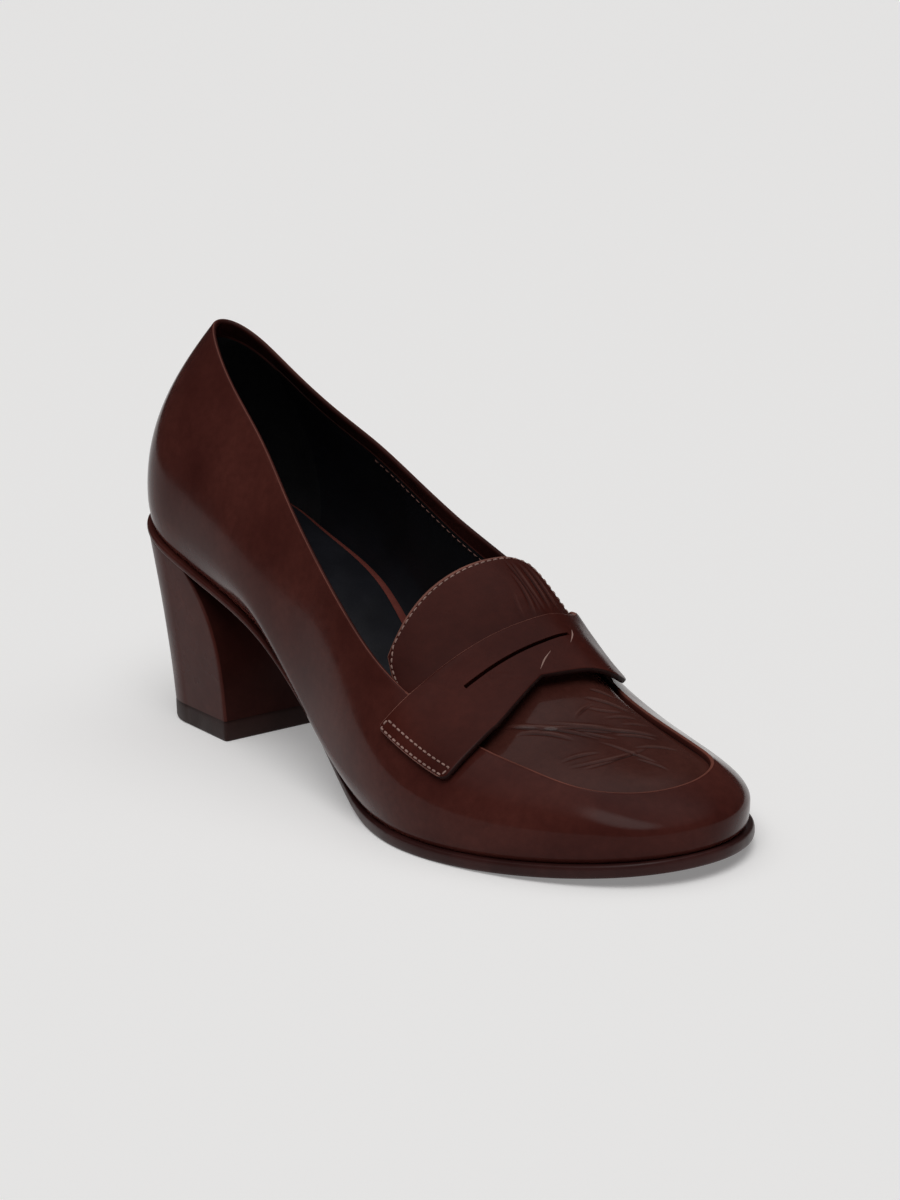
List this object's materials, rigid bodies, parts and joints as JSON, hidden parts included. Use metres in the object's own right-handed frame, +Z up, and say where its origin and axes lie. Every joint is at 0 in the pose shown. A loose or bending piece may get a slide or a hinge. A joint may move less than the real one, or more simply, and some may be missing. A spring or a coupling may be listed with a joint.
{
  "type": "loafer pump",
  "caption": "Right loafer pump in smooth leather: deep topline, raised apron seam, notched saddle strap with a slit, short tongue, thin sole and a block heel.",
  "frame": {"origin": "on the floor, under the middle of the shoe's length and width", "axes": "+X from heel to toe, +Y towards the wearer's left (the medial side of this right shoe), +Z up"},
  "size_m": [0.242, 0.0879, 0.1174],
  "materials": {
    "upper_leather": "glossy smooth dark red-brown",
    "sole_edge": "satin, nearly black brown",
    "top_lift_rubber": "matt black-brown",
    "sock_lining": "smooth black"
  },
  "bodies": {
    "root": {"upper": "upper_leather", "tongue": "upper_leather", "saddle_strap": "upper_leather", "heel": "upper_leather", "outsole": "sole_edge", "top_lift": "top_lift_rubber", "insole": "sock_lining"}
  },
  "joints": []
}
